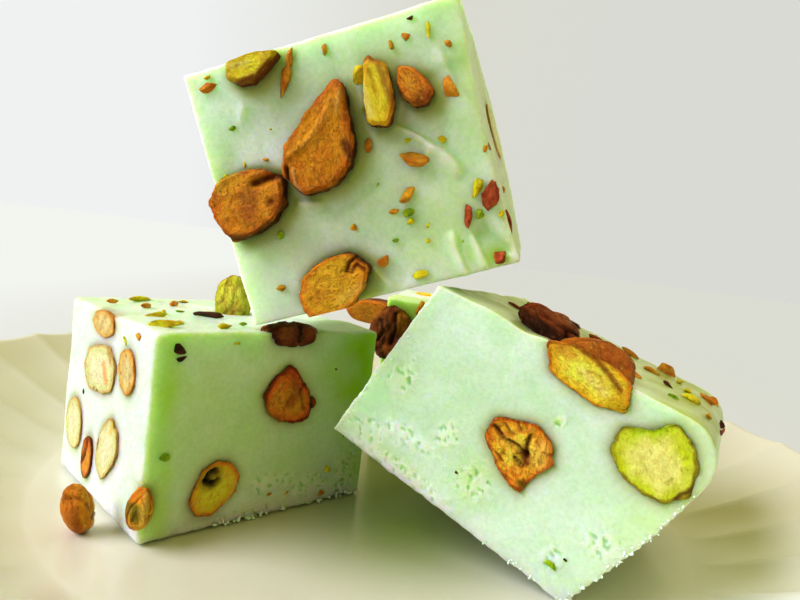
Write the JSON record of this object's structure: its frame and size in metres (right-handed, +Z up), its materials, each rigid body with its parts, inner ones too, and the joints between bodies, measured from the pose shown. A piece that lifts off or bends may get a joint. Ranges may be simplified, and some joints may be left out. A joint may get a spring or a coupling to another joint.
{
  "type": "dish of pistachio fudge",
  "caption": "Mint-green pistachio fudge cut in thick blocks and piled on a shallow round fluted dish, with kernels showing on every face and a loose kernel beside them.",
  "frame": {"origin": "middle of the dish, where it stands on the table", "axes": "+Z up; -Y towards the side that the pile is seen from; +X to the right from there"},
  "size_m": [0.1506, 0.1508, 0.0756],
  "materials": {
    "glaze": "glossy cream glaze",
    "fudge": "smooth mint fudge, crumbly where it was cut",
    "nut_brown": "toasted kernel with papery skin",
    "nut_dark": "dark kernel skin",
    "nut_green": "cut green kernel",
    "nut_pale": "cut pale kernel"
  },
  "bodies": {
    "root": {"dish": "glaze", "fudge_left": "fudge", "fudge_right": "fudge", "fudge_top": "fudge", "fudge_back": "fudge", "nut_back_back": "nut_brown", "nut_back_behind": "nut_green", "nut_back_crown": "nut_brown", "nut_back_dark": "nut_dark", "nut_back_end": "nut_pale", "nut_back_gold": "nut_brown", "nut_back_peak": "nut_green", "nut_back_side": "nut_pale", "nut_left_almond": "nut_pale", "nut_left_back": "nut_brown", "nut_left_behind": "nut_green", "nut_left_brim": "nut_brown", "nut_left_corner": "nut_brown", "nut_left_drop": "nut_brown", "nut_left_far": "nut_pale", "nut_left_heart": "nut_brown", "nut_left_inner": "nut_pale", "nut_left_oval": "nut_pale", "nut_left_rim": "nut_brown", "nut_left_round": "nut_pale", "nut_left_small": "nut_brown", "nut_left_standing": "nut_green", "nut_loose": "nut_brown", "nut_right_back": "nut_green", "nut_right_behind": "nut_brown", "nut_right_cracked": "nut_brown", "nut_right_end": "nut_pale", "nut_right_green": "nut_brown", "nut_right_inner": "nut_pale", "nut_right_rim": "nut_green", "nut_right_top": "nut_dark", "nut_top_back": "nut_pale", "nut_top_behind": "nut_brown", "nut_top_brow": "nut_brown", "nut_top_crown": "nut_pale", "nut_top_drop": "nut_brown", "nut_top_end": "nut_green", "nut_top_foot": "nut_brown", "nut_top_left": "nut_brown", "nut_top_round": "nut_brown", "nut_top_side": "nut_pale", "nut_top_slice": "nut_green"}
  },
  "joints": []
}
